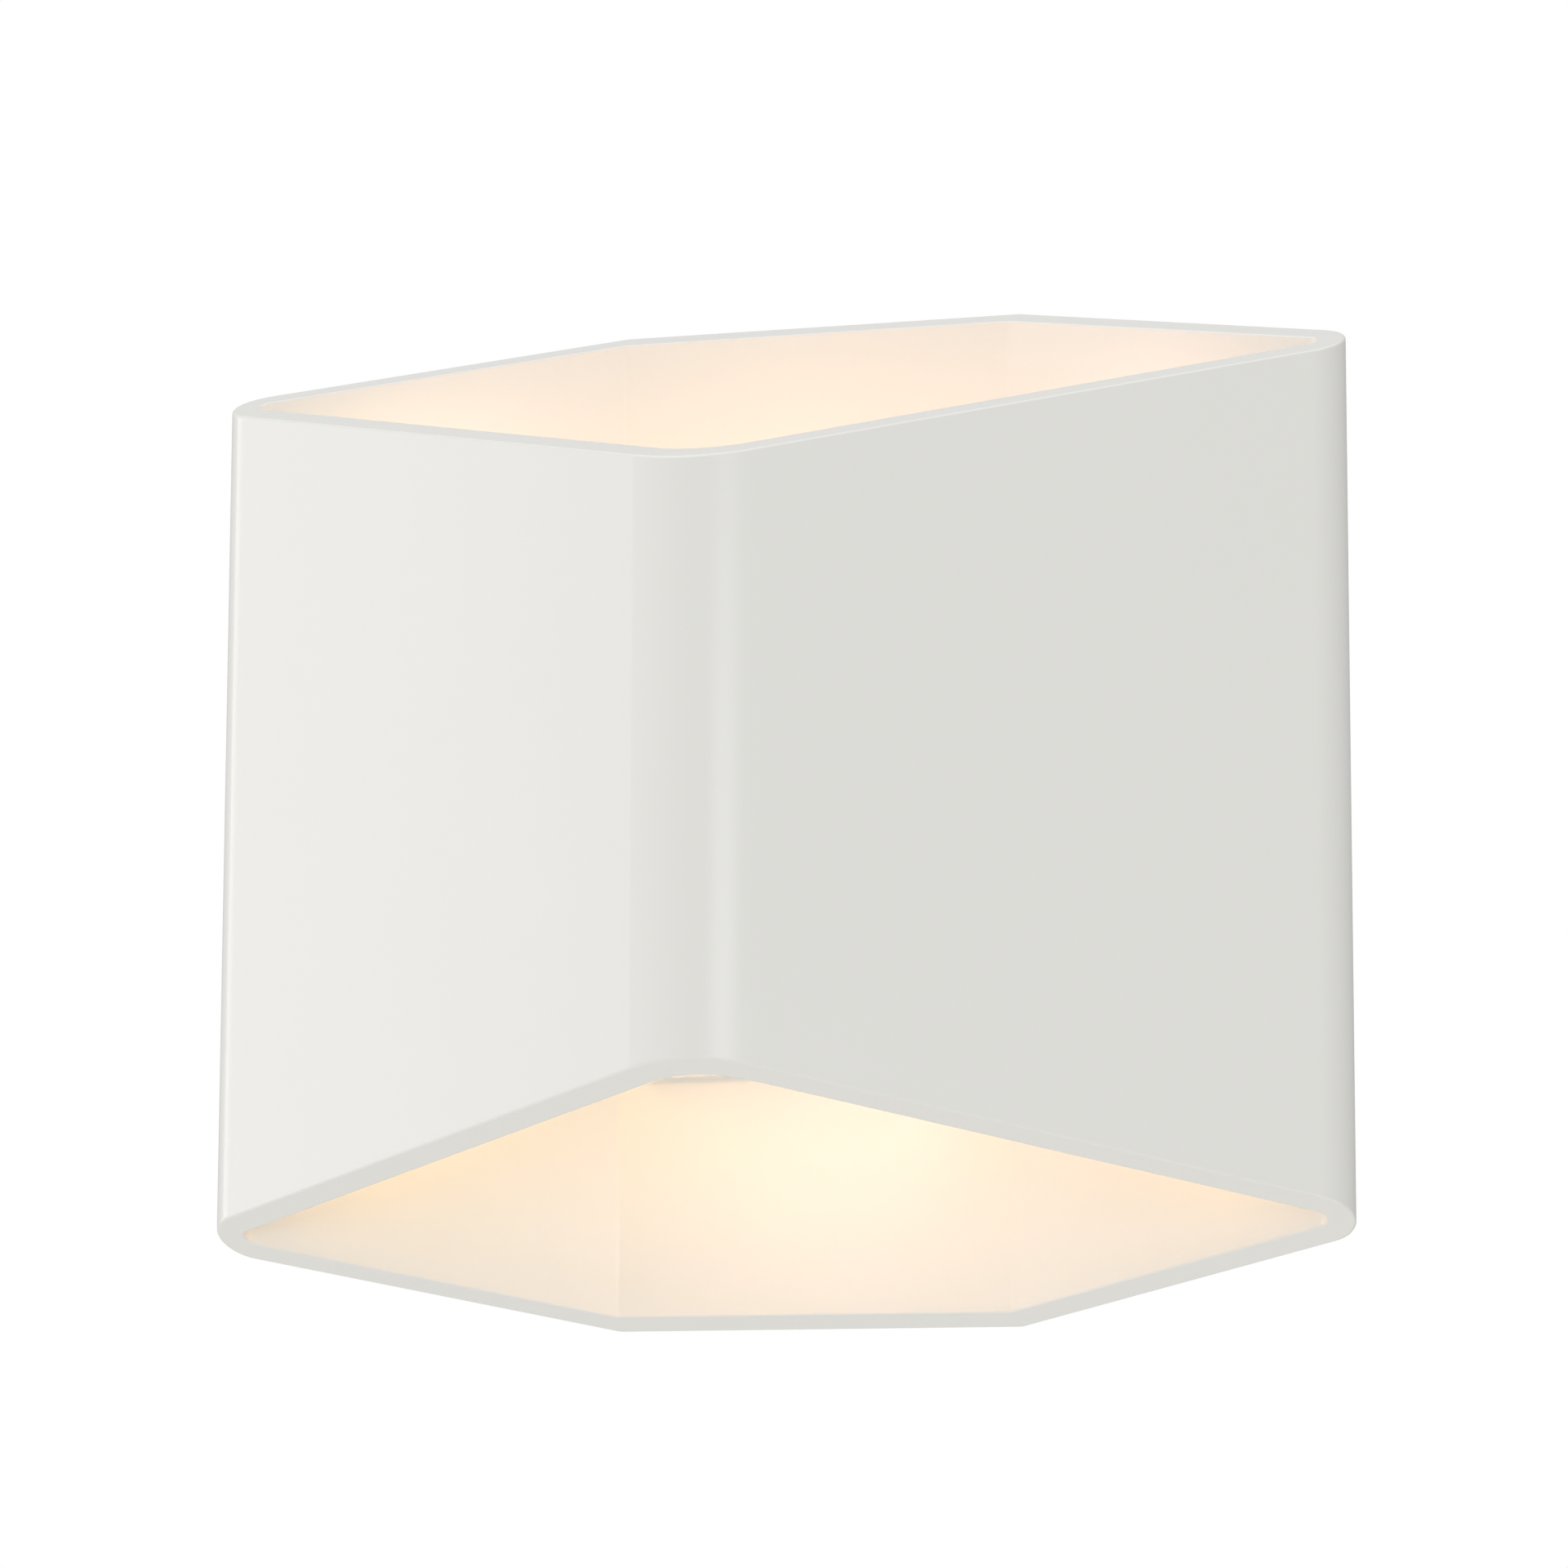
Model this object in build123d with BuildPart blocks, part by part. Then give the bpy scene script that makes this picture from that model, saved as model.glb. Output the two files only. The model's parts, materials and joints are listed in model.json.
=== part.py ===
from build123d import *
import os
from math import atan, cos, radians, sin, tan

# Up-and-down outdoor wall light, in millimetres.
# Origin: middle of the wall screw slots, on the wall. X to the right, Y into the wall, Z up.
# "Depth" means the distance in front of the wall, so it grows towards -Y.

# Shade: a five-sided extruded tube, measured to its sharp corners
shade_width = 180.0
shade_depth = 65.5
back_width = 59.0
side_corner_depth = 24.3
back_height = 145.4
cut_angle = 27.0
shade_wall = 4.0
side_corner_r = 5.7
front_corner_r = 21.0
back_corner_r = 2.5
inner_back_corner_r = 1.0
rim_edge_r = 0.4
wall_gap = 1.0

# Wall plate and what is on it
plate_width = 48.0
plate_height = 58.0
plate_thickness = 3.0
unit_corner_r = 2.4
slot_spacing = 36.0
slot_width = 4.6
slot_length = 8.5
groove_inset = 1.0
groove_width = 2.4
groove_depth = 2.0
cable_r = 3.5
grommet_neck_r = 6.5
grommet_flange_r = 9.0
grommet_flange = 1.5
grommet_snout = 4.5
grommet_snout_r = 5.0
fit_gap = 0.05

# Electrical parts on the plate
block_side_gap = 1.5
block_grommet_gap = 1.3
block_end_gap = 1.25
block_depth = 12.0
block_edge = 1.0
block_groove = 1.0
block_groove_depth = 3.0
block_poles = 3
pole_inset = 0.5
pole_well_depth = 6.0
pole_screw_r = 1.6
pole_screw_length = 4.0
wire_entry_r = 1.5
wire_entry_lift = 4.0
earth_grommet_gap = 1.6
earth_screw_r = 2.0
earth_head_r = 3.6
earth_head = 2.4
screw_head_edge = 0.6
cross_span = 1.4
cross_slimness = 3.0
earth_washer_r = 4.4
earth_washer = 0.8

# Light box
front_clearance = 4.2
box_wall = 2.2
box_edge_r = 1.5
box_gasket = 1.2
box_gasket_inset = 0.3
room_corner_r = 2.0

# Screws that hold the light box to its two standoffs
standoff_side_gap = 2.05
standoff_end_gap = 0.75
standoff_flats = 5.5
stud_r = 1.5
stud_length = 2.6
box_screw_grip = 8.0
box_screw_hole_r = 1.6
box_screw_head_r = 2.8
box_screw_head = 2.0
seal_thickness = 0.8
seal_r = 3.0

# Driver inside the light box
driver_side_gap = 1.75
driver_end_gap = 2.0
driver_depth = 16.8
driver_corner_r = 2.0
driver_lip = 1.2
driver_lip_depth = 1.0
pad_thickness = 1.0
pad_inset = 1.5
lead_bush_r = 2.2
lead_bush = 1.6
lead_bush_inset = 5.5

# Light module in the top and in the bottom of the light box
bezel_front_inset = 1.5
bezel_side_inset = 0.1
bezel_width = 25.0
bezel_thickness = 1.5
bezel_corner_r = 3.0
bezel_gap = 0.1
window_lap = 2.5
window_corner_r = 1.5
window_bevel = 0.8
diffuser_screw_gap = 2.1
diffuser_inset = 2.5
diffuser_thickness = 2.0
diffuser_corner_r = 2.5
diffuser_gap = 0.3
lens_gasket = 0.8
lens_gasket_width = 2.0
module_floor = 2.0
board_inset = 2.5
board_thickness = 1.6
board_corner_r = 1.0
board_gap = 0.5
chip_size = 2.8
chip_height = 0.7
chip_columns = 4
chip_rows = 2
chip_inset_x = 1.0
chip_inset_y = 1.5
reflector_height = 2.4
reflector_gap = 0.2
reflector_rim = 0.8
reflector_slope = 30.0
bezel_screw_inset_x = 1.9
bezel_screw_inset_y = 3.5
bezel_screw_r = 1.0
bezel_screw_head_r = 1.8
bezel_screw_length = 5.0
countersink_angle = 90.0

# Collar riveted into the back of the shade; it slides over the light box
collar_gap = 0.4
collar_wall = 2.4
collar_depth = 17.0
collar_rear_gap = 1.4
collar_window_gap = 0.2
flange_side = 1.4
flange_end = 5.0
flange_thickness = 2.0
rivet_x = 15.0
rivet_r = 1.2
rivet_head_r = 2.1
rivet_head = 0.9
rivet_head_edge = 0.4
rivet_tail_r = 1.9

# Locking screws that clamp the collar to the light box
lock_depth = 11.0
lock_screw_r = 2.0
lock_head_r = 3.5
lock_head = 2.8
lock_head_edge = 0.4
lock_socket = 3.0
lock_socket_depth = 1.8
lock_boss_r = 4.0
lock_boss_length = 6.3
lock_gap = 0.2
lock_slot_gap = 0.3
lock_notch_gap = 0.6

# Sizes that follow from the ones above
back_depth = wall_gap
inner_back_depth = back_depth + shade_wall
front_slope = (shade_depth - side_corner_depth) / (shade_width / 2)
inner_front_depth = back_depth + shade_depth - shade_wall / cos(atan(front_slope))
rear_room_height = plate_height - 2 * box_wall
room_width = plate_width - 2 * box_wall
box_top = plate_height / 2
bezel_floor = box_top - bezel_thickness
diffuser_top = bezel_floor - lens_gasket
diffuser_floor = diffuser_top - diffuser_thickness
chip_floor = diffuser_floor - reflector_gap - reflector_height
board_floor = chip_floor - board_thickness
room_height = 2 * (board_floor - module_floor)
standoff_x = room_width / 2 - standoff_side_gap - standoff_flats / 2
standoff_z = room_height / 2 - standoff_end_gap - standoff_flats / 2
block_width = room_width / 2 - block_side_gap - grommet_flange_r - block_grommet_gap
block_height = 2 * (standoff_z - standoff_flats / 2 - block_end_gap)
block_offset = room_width / 2 - block_side_gap - block_width / 2
pole_pitch = (block_height - 2 * pole_inset) / block_poles
earth_offset = -grommet_flange_r - earth_grommet_gap - earth_washer_r
driver_width = 2 * (standoff_x - standoff_flats / 2 - driver_side_gap)
driver_height = room_height - 2 * driver_end_gap
box_screws_front = inner_front_depth - (standoff_x + box_screw_head_r) * front_slope - front_clearance
box_front_depth = box_screws_front - box_screw_head - seal_thickness
box_back_depth = plate_thickness + box_gasket
box_inner_front = box_front_depth - box_wall
bezel_length = plate_width - 2 * (unit_corner_r + bezel_side_inset)
bezel_screw_x = bezel_length / 2 - bezel_screw_inset_x
bezel_screw_y = bezel_width / 2 - bezel_screw_inset_y
diffuser_length = 2 * (bezel_screw_x - diffuser_screw_gap)
diffuser_width = bezel_width - 2 * diffuser_inset
window_length = diffuser_length - 2 * window_lap
window_width = diffuser_width - 2 * window_lap
board_length = diffuser_length - 2 * board_inset
board_width = diffuser_width - 2 * board_inset
chip_pitch_x = (board_length - 2 * chip_inset_x) / chip_columns
chip_pitch_y = (board_width - 2 * chip_inset_y) / chip_rows
module_depth = box_front_depth - bezel_front_inset - bezel_width / 2
rear_room_depth = module_depth - bezel_width / 2 - box_wall
collar_inner_width = plate_width + 2 * collar_gap
collar_inner_height = plate_height + 2 * collar_gap
collar_inner_r = unit_corner_r + collar_gap
collar_outer_width = collar_inner_width + 2 * collar_wall
collar_outer_height = collar_inner_height + 2 * collar_wall
collar_outer_r = collar_inner_r + collar_wall
lock_head_floor = collar_outer_height / 2 + lock_gap
lock_tip = box_top - box_wall - lock_boss_length
notch_half_width = lock_head_r + lock_notch_gap
notch_top = lock_head_floor + lock_head + lock_notch_gap
rivet_z = collar_outer_height / 2 + flange_end / 2
seal_depth = box_front_depth + seal_thickness
sides = (("top", 1), ("bottom", -1))

os.makedirs("parts", exist_ok=True)


def wall_plane(depth):
    """Plane parallel to the wall at this depth, facing away from the wall."""
    return Plane.XZ.offset(depth)


def side_plane(side, height):
    """Plane over the light modules at this height above (1) or below (-1) the middle."""
    return Plane(origin=(0, -module_depth, side * height), x_dir=(1, 0, 0), z_dir=(0, 0, side))


def slab(plane, width, height, corner_r, thickness, mode=Mode.ADD):
    """Slab with rounded corners that grows from the plane along its normal."""
    with BuildSketch(plane) as outline:
        RectangleRounded(width, height, corner_r)
    extrude(outline.sketch, amount=thickness, mode=mode)


def frame(plane, outer, inner, thickness, mode=Mode.ADD):
    """Flat ring between two rounded rectangles, each given as width, height and corner radius."""
    with BuildSketch(plane) as outline:
        RectangleRounded(*outer)
        RectangleRounded(*inner, mode=Mode.SUBTRACT)
    extrude(outline.sketch, amount=thickness, mode=mode)


def rounds(plane, places, radius, thickness, mode=Mode.ADD):
    """Round bars or holes at the given places, growing from the plane."""
    with BuildSketch(plane) as outline:
        with Locations(*places):
            Circle(radius)
    extrude(outline.sketch, amount=thickness, mode=mode)


def cones(plane, places, radius, end_radius, mode=Mode.ADD):
    """Countersunk heads or seats that narrow from the plane into the piece."""
    depth = (radius - end_radius) / tan(radians(countersink_angle / 2))
    with Locations(plane):
        with Locations(*places):
            Cone(end_radius, radius, depth, align=(Align.CENTER, Align.CENTER, Align.MAX), mode=mode)


def cross_recess(plane, places, head_r, head):
    """Cross recess in pan heads, sized by the head and sunk from the plane."""
    with BuildSketch(plane) as cross:
        with Locations(*places):
            Rectangle(cross_span * head_r, head / cross_slimness)
            Rectangle(head / cross_slimness, cross_span * head_r)
    extrude(cross.sketch, amount=-head / 2, mode=Mode.SUBTRACT)


def save(piece, name):
    """Label a finished piece and write its STEP file."""
    piece.part.label = name
    export_step(piece.part, f"parts/{name}.step")


# Places that several pieces share, as X and Z on the wall or X and Y on a light module
slot_places = [(0, slot_spacing / 2), (0, -slot_spacing / 2)]
standoff_places = [(-standoff_x, standoff_z), (standoff_x, -standoff_z)]
rivet_places = [(x, z) for x in (-rivet_x, rivet_x) for z in (-rivet_z, rivet_z)]
bezel_screw_places = [
    (x, y) for x in (-bezel_screw_x, bezel_screw_x) for y in (-bezel_screw_y, bezel_screw_y)
]
pole_places = [(block_offset, pole_pitch * (i - (block_poles - 1) / 2)) for i in range(block_poles)]
chip_places = [
    (chip_pitch_x * (i - (chip_columns - 1) / 2), chip_pitch_y * (j - (chip_rows - 1) / 2))
    for i in range(chip_columns)
    for j in range(chip_rows)
]

# Shade: outline drawn to sharp corners, offset inwards for the bore, cut obliquely at both ends
sharp_corners = [
    (back_width / 2, -back_depth),
    (-back_width / 2, -back_depth),
    (-shade_width / 2, -back_depth - side_corner_depth),
    (0, -back_depth - shade_depth),
    (shade_width / 2, -back_depth - side_corner_depth),
]


def shade_outline(inset, side_r, front_r, back_r):
    """Five-sided plan of the shade, moved inwards by the inset, with its corners rounded."""
    with BuildSketch() as plan:
        with BuildLine():
            Polyline(*sharp_corners, close=True)
        make_face()
        if inset:
            offset(amount=-inset, kind=Kind.INTERSECTION, mode=Mode.REPLACE)
        corners = plan.vertices().sort_by(Axis.X)
        backs = corners.sort_by(Axis.Y)[-2:]
        front = corners.sort_by(Axis.Y)[0]
        ends = [corners[0], corners[-1]]
        fillet(ends, side_r)
        fillet(plan.vertices().sort_by_distance(front)[0], front_r)
        for back in backs:
            fillet(plan.vertices().sort_by_distance(back)[0], back_r)
    return plan.sketch


outer_plan = shade_outline(0, side_corner_r, front_corner_r, back_corner_r)
inner_plan = shade_outline(
    shade_wall, side_corner_r - shade_wall, front_corner_r - shade_wall, inner_back_corner_r
)

with BuildPart() as shade:
    extrude(outer_plan, amount=back_height / 2, both=True)
    extrude(inner_plan, amount=back_height / 2, both=True, mode=Mode.SUBTRACT)
    for side in (1, -1):
        cut_normal = (0, -side * sin(radians(cut_angle)), cos(radians(cut_angle)))
        cut_plane = Plane(origin=(0, -back_depth, side * back_height / 2), x_dir=(1, 0, 0), z_dir=cut_normal)
        split(bisect_by=cut_plane, keep=Keep.BOTTOM if side > 0 else Keep.TOP)
    rims = shade.faces().filter_by(lambda face: 0.5 < abs(face.normal_at().Z) < 0.99)
    fillet(rims.edges(), rim_edge_r)
    with BuildSketch(wall_plane(0)) as rear_window:
        RectangleRounded(
            collar_outer_width + 2 * collar_window_gap,
            collar_outer_height + 2 * collar_window_gap,
            collar_outer_r + collar_window_gap,
        )
        Rectangle(2 * notch_half_width, 2 * notch_top)
    extrude(rear_window.sketch, amount=inner_back_depth + shade_wall, mode=Mode.SUBTRACT)
    rounds(wall_plane(0), rivet_places, rivet_r + fit_gap, inner_back_depth + shade_wall, Mode.SUBTRACT)
    cones(wall_plane(back_depth).reverse(), rivet_places, rivet_tail_r + fit_gap, rivet_r, Mode.SUBTRACT)
save(shade, "shade")

# Collar: a spigot in the shade's window, a riveted flange and a short tube round the light box
with BuildPart() as mounting_collar:
    collar_outer = (collar_outer_width, collar_outer_height, collar_outer_r)
    collar_inner = (collar_inner_width, collar_inner_height, collar_inner_r)
    slab(wall_plane(collar_rear_gap), *collar_outer, collar_depth - collar_rear_gap)
    slab(
        wall_plane(inner_back_depth),
        collar_outer_width + 2 * flange_side,
        collar_outer_height + 2 * flange_end,
        collar_outer_r + flange_side,
        flange_thickness,
    )
    slab(wall_plane(collar_rear_gap), *collar_inner, collar_depth - collar_rear_gap, Mode.SUBTRACT)
    rounds(wall_plane(inner_back_depth), rivet_places, rivet_r + fit_gap, flange_thickness, Mode.SUBTRACT)
    for side in (1, -1):
        with BuildSketch(wall_plane(inner_back_depth)) as head_notch:
            with Locations((0, side * (collar_outer_height / 2 + notch_top) / 2)):
                Rectangle(2 * notch_half_width, notch_top - collar_outer_height / 2)
        extrude(head_notch.sketch, amount=flange_thickness, mode=Mode.SUBTRACT)
        with BuildSketch(Plane.XY.offset(side * collar_outer_height / 2)) as screw_slot:
            with Locations((0, -lock_depth)):
                Circle(lock_screw_r + lock_slot_gap)
            with Locations((0, -lock_depth / 2)):
                Rectangle(2 * (lock_screw_r + lock_slot_gap), lock_depth)
        extrude(screw_slot.sketch, amount=-side * 2 * collar_wall, mode=Mode.SUBTRACT)
save(mounting_collar, "mounting_collar")

# Rivets: domed heads on the flange, countersunk tails in the back of the shade
with BuildPart() as collar_rivets:
    rivet_seat = inner_back_depth + flange_thickness
    rounds(wall_plane(back_depth), rivet_places, rivet_r, rivet_seat - back_depth)
    rounds(wall_plane(rivet_seat), rivet_places, rivet_head_r, rivet_head)
    chamfer(collar_rivets.faces().sort_by(Axis.Y)[0:len(rivet_places)].edges(), rivet_head_edge)
    cones(wall_plane(back_depth).reverse(), rivet_places, rivet_tail_r, rivet_r)
save(collar_rivets, "collar_rivets")

# Wall plate: slots for the wall screws, cable hole, gasket groove, holes for the studs
groove_outer = (plate_width - 2 * groove_inset, plate_height - 2 * groove_inset, unit_corner_r - groove_inset)
groove_inner = (
    groove_outer[0] - 2 * groove_width,
    groove_outer[1] - 2 * groove_width,
    unit_corner_r - groove_inset,
)
with BuildPart() as wall_plate:
    slab(wall_plane(0), plate_width, plate_height, unit_corner_r, plate_thickness)
    frame(wall_plane(0), groove_outer, groove_inner, groove_depth, Mode.SUBTRACT)
    with BuildSketch(wall_plane(0)) as openings:
        with Locations(*slot_places):
            SlotOverall(slot_length, slot_width, rotation=90)
        Circle(grommet_neck_r + fit_gap)
        with Locations(*standoff_places):
            Circle(stud_r + fit_gap)
        with Locations((earth_offset, 0)):
            Circle(earth_screw_r + fit_gap)
    extrude(openings.sketch, amount=plate_thickness, mode=Mode.SUBTRACT)
save(wall_plate, "wall_plate")

# Gasket pressed into the groove, level with the back of the plate
with BuildPart() as wall_gasket:
    frame(wall_plane(0), groove_outer, groove_inner, groove_depth)
save(wall_gasket, "wall_gasket")

# Grommet: neck through the plate, flange behind it and a tapered snout inside the light box
with BuildPart() as cable_grommet:
    flange_front = plate_thickness + grommet_flange
    with BuildSketch():
        with BuildLine():
            Polyline(
                (cable_r, 0),
                (grommet_neck_r, 0),
                (grommet_neck_r, -plate_thickness),
                (grommet_flange_r, -plate_thickness),
                (grommet_flange_r, -flange_front),
                (grommet_neck_r, -flange_front),
                (grommet_snout_r, -flange_front - grommet_snout),
                (cable_r, -flange_front - grommet_snout),
                close=True,
            )
        make_face()
    revolve(axis=Axis.Y)
save(cable_grommet, "cable_grommet")

# Terminal block: wells for the clamping screws and wire entries on both sides
with BuildPart() as terminal_block:
    with BuildSketch(wall_plane(plate_thickness)):
        with Locations((block_offset, 0)):
            Rectangle(block_width, block_height)
    extrude(amount=block_depth)
    chamfer(terminal_block.faces().sort_by(Axis.Y)[0].edges(), block_edge)
    block_front = plate_thickness + block_depth
    rounds(wall_plane(block_front), pole_places, pole_screw_r + fit_gap, -pole_well_depth, Mode.SUBTRACT)
    with BuildSketch(Plane.YZ.offset(block_offset - block_width / 2)):
        with Locations(*[(-plate_thickness - wire_entry_lift, z) for _, z in pole_places]):
            Circle(wire_entry_r)
    extrude(amount=block_width, mode=Mode.SUBTRACT)
    with BuildSketch(wall_plane(block_front)):
        with Locations((block_offset, pole_pitch / 2), (block_offset, -pole_pitch / 2)):
            Rectangle(block_width, block_groove)
    extrude(amount=-block_groove_depth, mode=Mode.SUBTRACT)
save(terminal_block, "terminal_block")

with BuildPart() as terminal_screws:
    screw_seat = block_front - pole_well_depth
    rounds(wall_plane(screw_seat), pole_places, pole_screw_r, pole_screw_length)
    with BuildSketch(wall_plane(screw_seat + pole_screw_length)):
        with Locations(*pole_places):
            Rectangle(2 * pole_screw_r, pole_screw_r / 2)
    extrude(amount=-pole_screw_r / 2, mode=Mode.SUBTRACT)
save(terminal_screws, "terminal_screws")

# Earth terminal: cupped washer and pan-head screw in the plate
with BuildPart() as earth_washer_ring:
    earth_place = [(earth_offset, 0)]
    rounds(wall_plane(plate_thickness), earth_place, earth_washer_r, earth_washer)
    rounds(wall_plane(plate_thickness), earth_place, earth_screw_r + fit_gap, earth_washer, Mode.SUBTRACT)
save(earth_washer_ring, "earth_washer")

with BuildPart() as earth_screw:
    earth_seat = plate_thickness + earth_washer
    rounds(wall_plane(0), earth_place, earth_screw_r, earth_seat)
    rounds(wall_plane(earth_seat), earth_place, earth_head_r, earth_head)
    chamfer(earth_screw.faces().sort_by(Axis.Y)[0].edges(), screw_head_edge)
    cross_recess(wall_plane(earth_seat + earth_head), earth_place, earth_head_r, earth_head)
save(earth_screw, "earth_screw")

# Gasket between the plate and the rim of the light box
with BuildPart() as box_gasket_ring:
    seat_outer = (
        plate_width - 2 * box_gasket_inset,
        plate_height - 2 * box_gasket_inset,
        unit_corner_r - box_gasket_inset,
    )
    frame(wall_plane(plate_thickness), seat_outer, (room_width, rear_room_height, room_corner_r), box_gasket)
save(box_gasket_ring, "box_gasket")

# Light box: cast shell, tall at the back for the terminals, stepped in for the light modules
with BuildPart() as light_box:
    slab(
        wall_plane(box_back_depth),
        plate_width,
        plate_height,
        unit_corner_r,
        box_front_depth - box_back_depth,
    )
    fillet(light_box.faces().sort_by(Axis.Y)[0].edges(), box_edge_r)
    slab(
        wall_plane(box_back_depth),
        room_width,
        rear_room_height,
        room_corner_r,
        rear_room_depth - box_back_depth,
        Mode.SUBTRACT,
    )
    slab(
        wall_plane(box_back_depth),
        room_width,
        room_height,
        room_corner_r,
        box_inner_front - box_back_depth,
        Mode.SUBTRACT,
    )
    rounds(wall_plane(box_inner_front), standoff_places, box_screw_hole_r, box_wall, Mode.SUBTRACT)
    for side in (1, -1):
        top = side_plane(side, box_top)
        slab(top, bezel_length, bezel_width, bezel_corner_r, -bezel_thickness, Mode.SUBTRACT)
        slab(
            side_plane(side, bezel_floor),
            diffuser_length + 2 * diffuser_gap,
            diffuser_width + 2 * diffuser_gap,
            diffuser_corner_r + diffuser_gap,
            diffuser_floor - bezel_floor,
            Mode.SUBTRACT,
        )
        slab(
            side_plane(side, diffuser_floor),
            board_length + 2 * board_gap,
            board_width + 2 * board_gap,
            board_corner_r + board_gap,
            board_floor - diffuser_floor,
            Mode.SUBTRACT,
        )
        rounds(
            side_plane(side, bezel_floor),
            bezel_screw_places,
            bezel_screw_r + fit_gap,
            -bezel_screw_length,
            Mode.SUBTRACT,
        )
        lock_place = [(0, side * (module_depth - lock_depth))]
        rounds(side_plane(side, lock_tip), lock_place, lock_boss_r, lock_boss_length + box_wall / 2)
        rounds(top, lock_place, lock_screw_r + fit_gap, lock_tip - box_top, Mode.SUBTRACT)
save(light_box, "light_box")

# Standoffs: hexagon bars with a stud in the plate and a threaded bore at the front
with BuildPart() as standoffs:
    with BuildSketch(wall_plane(plate_thickness)):
        with Locations(*standoff_places):
            RegularPolygon(standoff_flats / 2, 6, major_radius=False)
    extrude(amount=box_inner_front - plate_thickness)
    rounds(wall_plane(plate_thickness), standoff_places, stud_r, -stud_length)
    rounds(
        wall_plane(box_inner_front),
        standoff_places,
        stud_r + fit_gap,
        -box_screw_grip - stud_r,
        Mode.SUBTRACT,
    )
save(standoffs, "standoffs")

with BuildPart() as screw_seals:
    rounds(wall_plane(box_front_depth), standoff_places, seal_r, seal_thickness)
    rounds(wall_plane(box_front_depth), standoff_places, box_screw_hole_r, seal_thickness, Mode.SUBTRACT)
save(screw_seals, "screw_seals")

with BuildPart() as box_screws:
    tip = box_inner_front - box_screw_grip
    rounds(wall_plane(tip), standoff_places, stud_r, seal_depth - tip)
    rounds(wall_plane(seal_depth), standoff_places, box_screw_head_r, box_screw_head)
    chamfer(box_screws.faces().sort_by(Axis.Y)[0:len(standoff_places)].edges(), screw_head_edge)
    cross_recess(wall_plane(seal_depth + box_screw_head), standoff_places, box_screw_head_r, box_screw_head)
save(box_screws, "box_screws")

# Driver: potted case on a heat pad against the front wall of the light box
driver_front = box_inner_front - pad_thickness
driver_back = driver_front - driver_depth
with BuildPart() as led_driver:
    slab(wall_plane(driver_back), driver_width, driver_height, driver_corner_r, driver_depth)
    slab(
        wall_plane(driver_back),
        driver_width - 2 * driver_lip,
        driver_height - 2 * driver_lip,
        driver_corner_r - driver_lip / 2,
        driver_lip_depth,
        Mode.SUBTRACT,
    )
    bush_reach = driver_height / 2 - lead_bush_inset
    bush_places = [(0, bush_reach), (0, -bush_reach)]
    rounds(wall_plane(driver_back + driver_lip_depth), bush_places, lead_bush_r, -lead_bush)
save(led_driver, "led_driver")

with BuildPart() as heat_pad:
    slab(
        wall_plane(driver_front),
        driver_width - 2 * pad_inset,
        driver_height - 2 * pad_inset,
        driver_corner_r,
        pad_thickness,
    )
save(heat_pad, "heat_pad")

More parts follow.
